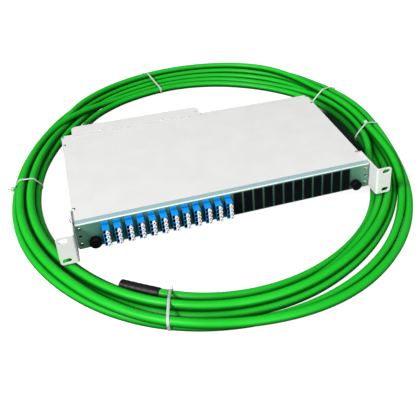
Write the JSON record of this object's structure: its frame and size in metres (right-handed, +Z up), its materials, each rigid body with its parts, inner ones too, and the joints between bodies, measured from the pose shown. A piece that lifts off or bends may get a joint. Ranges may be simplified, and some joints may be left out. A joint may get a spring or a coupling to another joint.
{
  "type": "rack optical distribution frame",
  "caption": "Flat rack-width fibre distribution frame with slotted ears, a pull-out tray of adapters and blanks, and a long trunk cable tied in a flat coil under it.",
  "frame": {"origin": "on the front face of the rack ears, midway between their four slots", "axes": "+X to the right seen from the front, +Y to the rear of the rack, +Z up"},
  "size_m": [0.6404, 0.7968, 0.0689],
  "materials": {
    "chassis_paint": "fine powder coat, warm light grey",
    "panel_anodised": "satin anodised, grey green",
    "tray_zinc": "zinc plated sheet",
    "fastener_steel": "bright zinc",
    "adapter_blue": "moulded, bright blue",
    "cap_white": "soft moulded, white",
    "connector_blue": "moulded, blue",
    "blank_black": "moulded, black",
    "knob_black": "moulded, black",
    "spool_white": "moulded, white",
    "gland_black": "moulded, black",
    "cable_green": "extruded jacket, semi-gloss green",
    "sleeve_black": "shrunk tube, black",
    "tie_nylon": "translucent natural nylon"
  },
  "bodies": {
    "chassis": {"chassis_base": "chassis_paint", "top_cover": "chassis_paint", "rear_cable_plate": "chassis_paint", "rear_plate_rivets": "fastener_steel", "ear_left": "chassis_paint", "ear_right": "chassis_paint", "ear_screws": "fastener_steel", "cover_screws": "fastener_steel", "guide_rail_left": "tray_zinc", "guide_rail_right": "tray_zinc", "gland_body": "gland_black", "gland_locknut": "gland_black", "gland_dome_nut": "gland_black", "fan_out_block": "gland_black", "cable_exit": "cable_green", "cable_coil": "cable_green", "end_sleeve": "sleeve_black", "cable_tie_1": "tie_nylon", "cable_tie_2": "tie_nylon", "cable_tie_3": "tie_nylon", "cable_tie_4": "tie_nylon", "cable_tie_5": "tie_nylon"},
    "tray": {"front_panel": "panel_anodised", "panel_rivets": "fastener_steel", "anchor_nuts": "fastener_steel", "knob_grommet_left": "knob_black", "knob_grommet_right": "knob_black", "slide_tray": "tray_zinc", "tray_rail_left": "tray_zinc", "tray_rail_right": "tray_zinc", "fibre_spools": "spool_white", "dust_caps": "cap_white", "rear_connectors": "connector_blue", "adapter_01": "adapter_blue", "adapter_02": "adapter_blue", "adapter_03": "adapter_blue", "adapter_04": "adapter_blue", "adapter_05": "adapter_blue", "adapter_06": "adapter_blue", "adapter_07": "adapter_blue", "adapter_08": "adapter_blue", "adapter_09": "adapter_blue", "adapter_10": "adapter_blue", "adapter_11": "adapter_blue", "adapter_12": "adapter_blue", "blank_plug_01": "blank_black", "blank_plug_02": "blank_black", "blank_plug_03": "blank_black", "blank_plug_04": "blank_black", "blank_plug_05": "blank_black", "blank_plug_06": "blank_black", "blank_plug_07": "blank_black", "blank_plug_08": "blank_black", "blank_plug_09": "blank_black", "blank_plug_10": "blank_black", "blank_plug_11": "blank_black", "blank_plug_12": "blank_black"},
    "knob_left": {"knob_left": "knob_black"},
    "knob_right": {"knob_right": "knob_black"}
  },
  "joints": [
    {"name": "tray_slide", "type": "slide", "parent": "chassis", "child": "tray", "axis": [0, -1, 0], "range_m": [0, 0.16]},
    {"name": "knob_left_pull", "type": "slide", "parent": "tray", "child": "knob_left", "axis": [0, -1, 0], "range_m": [0, 0.005]},
    {"name": "knob_right_pull", "type": "slide", "parent": "tray", "child": "knob_right", "axis": [0, -1, 0], "range_m": [0, 0.005]}
  ]
}
